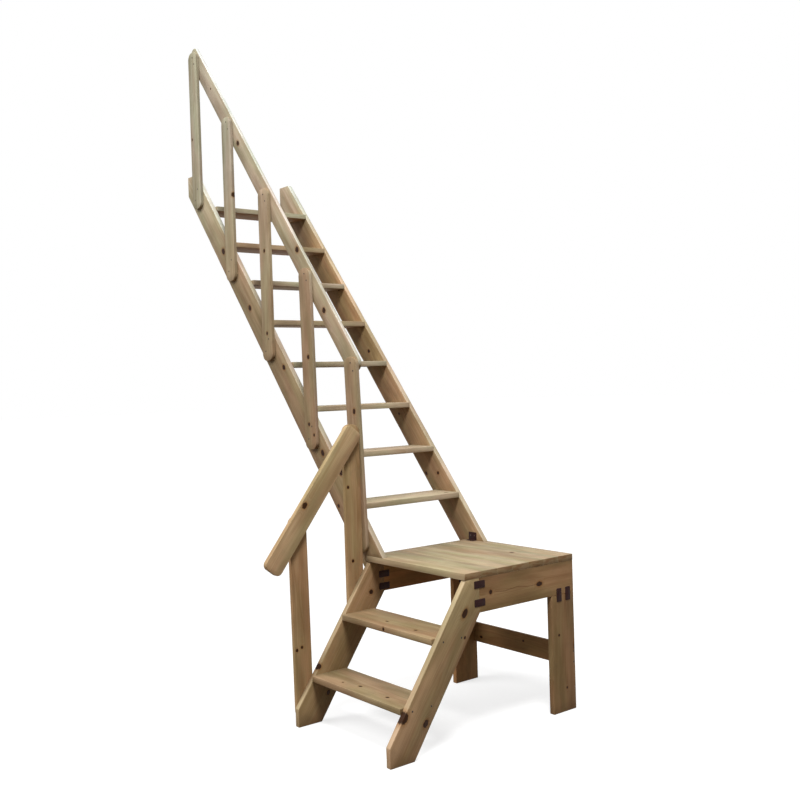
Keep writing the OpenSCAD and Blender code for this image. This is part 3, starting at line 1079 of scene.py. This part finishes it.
class LOFT_OT_foot_brackets(bpy.types.Operator):
    """Bend and screw on the angles at the upper stringers' feet"""
    bl_idname = "loft.foot_brackets"
    bl_label = "Foot brackets"

    def execute(self, context):
        fitting = context.scene.loft_fitting
        thick, bend = fitting.sheet, fitting.bend
        spots = []
        for node, side in (("near_foot_bracket", 1), ("far_foot_bracket", -1)):
            low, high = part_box(node)
            wall = low.y if side > 0 else high.y
            reach, rise = high.y - low.y, high.z - low.z
            outline = [(0.0, rise)] + round_bend((bend, bend), bend, 180, 4)
            outline += [(reach, 0.0), (reach, thick)]
            outline += round_bend((bend, bend), bend - thick, 180, 4)[::-1] + [(thick, rise)]
            shape = extrude(outline, low.x, high.x,
                            lambda y, z, x: Vector((x, wall + side * y, low.z + z)))
            add_fitting(shape, node + "_angle", Plate(low, high), (3, side, 5), node)
            for share in (0.25, 0.75):
                x = low.x + share * (high.x - low.x)
                up = Vector((x, wall + side * (thick - BRACKET_SINK), low.z + 0.6 * rise))
                flat = Vector((x, wall + side * 0.6 * reach, low.z + thick - BRACKET_SINK))
                spots += [(up, Vector((0, side, 0))), (flat, Vector((0, 0, 1)))]
        add_screws("bracket_screws", spots, fitting.plate_head, tuple(fitting.bracket_steel))
        return {"FINISHED"}


# Screws near the ends of the slats and posts, in metres from the end and shares across
SLAT_TOP, SLAT_FOOT = ((0.028, 0.1), (0.066, 0.45)), ((0.055, -0.35), (0.115, 0.3))
POST_TOP, POST_FOOT = ((0.09, 0.3), (0.04, -0.3)), ((0.07, -0.3), (0.15, 0.35))


def side_screws(nodes, height, depth):
    """Screws through the outer faces of a left and a right board, at a height and a depth"""
    left, right = nodes
    return [(Vector((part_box(left)[0].x, depth, height)), Vector((-1, 0, 0))),
            (Vector((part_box(right)[1].x, depth, height)), Vector((1, 0, 0)))]


class LOFT_OT_screws(bpy.types.Operator):
    """Drive the screws that hold the slats, posts, lower treads and stretcher"""
    bl_idname = "loft.screws"
    bl_label = "Screws"

    def execute(self, context):
        fitting = context.scene.loft_fitting
        chance = random.Random("screws")
        spots = []
        for node in ["newel_post"] + [f"baluster_{i}" for i in range(1, 5)]:
            slat = Board(node)
            length = 2 * slat.half.x
            places = [(length - down - chance.uniform(-0.004, 0.004), across)
                      for down, across in SLAT_TOP]
            places += [(up + chance.uniform(-0.006, 0.006), across) for up, across in SLAT_FOOT]
            spots += [(slat.at(up / length, across, -1), -slat.through) for up, across in places]
        for node in ("lower_rail_upper_post", "lower_rail_lower_post"):
            post = Board(node)
            length = 2 * post.half.x
            places = [*POST_FOOT, *((length - down, across) for down, across in POST_TOP)]
            spots += [(post.at(up / length, across, -1), -post.through) for up, across in places]
        for i in (1, 2):
            low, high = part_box(f"lower_tread_{i}")
            for share in (0.22, 0.75):
                spots += side_screws(("lower_left_stringer", "lower_right_stringer"),
                                     (low.z + high.z) / 2, low.y + share * (high.y - low.y))
        low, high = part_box("leg_stretcher")
        pairs = [side_screws(("left_rear_leg", "right_rear_leg"),
                             low.z + share * (high.z - low.z), (low.y + high.y) / 2)
                 for share in (0.25, 0.75)]
        for side in zip(*pairs):
            spots += side
        add_screws("board_screws", spots, fitting.head, tuple(fitting.steel))
        return {"FINISHED"}


# ---------------------------------------------------------------- stage

# Where each lamp stands, and the way its back faces
FRONT_LAMP = (-1.0, -2.5, 3.0), (-0.30, -0.68, 0.67)
SIDE_LAMP = (4.6, -1.5, 4.4), (5.0, -1.7, 3.0)

# The front lamp's spread in degrees, and the side lamp's width in metres
FRONT_SPREAD, SIDE_SIZE = 35, 2.2

# Half the floor's width, and how far it lies below the feet so the two don't touch
FLOOR_REACH, FLOOR_DROP = 60, 0.0005


class LOFT_OT_stage(bpy.types.Operator):
    """Set the camera, the lamps and the floor"""
    bl_idname = "loft.stage"
    bl_label = "Stage"

    def execute(self, context):
        scene = context.scene
        stage = scene.loft_stage
        scene.view_settings.view_transform = "Standard"
        self.camera(scene, stage)
        self.sky(scene, stage)
        self.lamps(scene, stage)
        self.floor(stage)
        return {"FINISHED"}

    def camera(self, scene, stage):
        lens = bpy.data.cameras.new("camera")
        lens.lens, lens.sensor_width = stage.lens, 36
        lens.shift_x, lens.shift_y = stage.shift
        lens.clip_end = 200
        camera = bpy.data.objects.new("camera", lens)
        scene.collection.objects.link(camera)
        look = Vector((-math.sin(stage.yaw) * math.cos(stage.pitch),
                       math.cos(stage.yaw) * math.cos(stage.pitch), math.sin(stage.pitch)))
        right = Vector((math.cos(stage.yaw), math.sin(stage.yaw), 0))
        up = right.cross(look)
        c, s = math.cos(stage.roll), math.sin(stage.roll)
        columns = (c * right + s * up, c * up - s * right, -look)
        turn = Matrix(columns).transposed().to_4x4()
        camera.matrix_world = Matrix.Translation(stage.place) @ turn
        scene.camera = camera

    def sky(self, scene, stage):
        world = bpy.data.worlds.new("studio")
        world.use_nodes = True
        n = Nodes(world.node_tree)
        n.tree.nodes.clear()
        seen = self.seen(n)
        even, white = n.add("ShaderNodeBackground"), n.add("ShaderNodeBackground")
        even.inputs["Color"].default_value = (1, 1, 1, 1)
        even.inputs["Strength"].default_value = stage.sky
        white.inputs["Color"].default_value = (1, 1, 1, 1)
        mixed, out = n.add("ShaderNodeMixShader"), n.add("ShaderNodeOutputWorld")
        n.join(seen, mixed.inputs[0])
        n.join(even.outputs[0], mixed.inputs[1])
        n.join(white.outputs[0], mixed.inputs[2])
        n.join(mixed.outputs[0], out.inputs[0])
        scene.world = world

    def seen(self, n):
        """One for rays that show the surroundings, and zero for those that light the stair"""
        path = n.add("ShaderNodeLightPath").outputs
        shine = n.math("MAXIMUM", path["Is Glossy Ray"], path["Is Transmission Ray"])
        return n.math("MAXIMUM", path["Is Camera Ray"], shine)

    def lamps(self, scene, stage):
        front = bpy.data.lights.new("front_lamp", "SUN")
        front.energy, front.angle = stage.front, math.radians(FRONT_SPREAD)
        side = bpy.data.lights.new("side_lamp", "AREA")
        side.energy, side.shape, side.size = stage.side, "DISK", SIDE_SIZE
        for light, (place, back) in ((front, FRONT_LAMP), (side, SIDE_LAMP)):
            lamp = bpy.data.objects.new(light.name, light)
            scene.collection.objects.link(lamp)
            lamp.location = place
            lamp.rotation_euler = Vector(back).to_track_quat("Z", "Y").to_euler()
            lamp.visible_camera = False

    def floor(self, stage):
        shape = bmesh.new()
        bmesh.ops.create_grid(shape, x_segments=8, y_segments=8, size=FLOOR_REACH)
        for v in shape.verts:
            v.co.z = FLOOR_Z - FLOOR_DROP
        material, n, shader = new_material("pale_floor")
        speckle = n.noise(n.add("ShaderNodeTexCoord").outputs["Object"], scale=3.0, detail=4)
        pale = n.mix(speckle, (0.38, 0.38, 0.38), (0.40, 0.40, 0.395))
        n.join(pale, shader.inputs["Base Color"])
        shader.inputs["Roughness"].default_value = 0.9
        shader.inputs["Specular IOR Level"].default_value = 0.0
        shader.inputs["Emission Color"].default_value = (1, 1, 1, 1)
        shader.inputs["Emission Strength"].default_value = 0.72
        bounce = n.add("ShaderNodeBsdfDiffuse")
        bounce.inputs["Color"].default_value = (*stage.floor, 1)
        mixed = n.add("ShaderNodeMixShader")
        n.join(self.seen(n), mixed.inputs[0])
        n.join(bounce.outputs[0], mixed.inputs[1])
        n.join(shader.outputs[0], mixed.inputs[2])
        n.join(mixed.outputs[0], n.tree.nodes["Material Output"].inputs[0])
        floor = object_from(shape, "floor", material)


# ---------------------------------------------------------------- panel

PIECES = (LOFT_OT_platform_top, LOFT_OT_aprons, LOFT_OT_rear_legs, LOFT_OT_lower_stringers,
          LOFT_OT_lower_treads, LOFT_OT_upper_stringers, LOFT_OT_upper_treads,
          LOFT_OT_upper_slats, LOFT_OT_upper_handrail, LOFT_OT_lower_railing,
          LOFT_OT_joining_plates, LOFT_OT_foot_brackets, LOFT_OT_screws, LOFT_OT_stage)
SETTINGS = {"loft_timber": TimberSettings, "loft_fitting": FittingSettings,
            "loft_stage": StageSettings}


class LOFT_PT_pieces(bpy.types.Panel):
    """Buttons for the stair's pieces, in the order they are made"""
    bl_idname = "LOFT_PT_pieces"
    bl_label = "Loft staircase"
    bl_space_type = "VIEW_3D"
    bl_region_type = "UI"
    bl_category = "Loft staircase"

    def draw(self, context):
        for piece in PIECES:
            self.layout.operator(piece.bl_idname)


def register():
    for made in (*SETTINGS.values(), *PIECES, LOFT_PT_pieces):
        bpy.utils.register_class(made)
    for name, kind in SETTINGS.items():
        setattr(bpy.types.Scene, name, bpy.props.PointerProperty(type=kind))


def unregister():
    for name in SETTINGS:
        delattr(bpy.types.Scene, name)
    for made in (LOFT_PT_pieces, *reversed(PIECES), *reversed(SETTINGS.values())):
        bpy.utils.unregister_class(made)


def main():
    register()
    for piece in PIECES:
        group, name = piece.bl_idname.split(".")
        if getattr(getattr(bpy.ops, group), name)() != {"FINISHED"}:
            raise RuntimeError(piece.bl_label + " wasn't made")


if __name__ == "__main__":
    main()
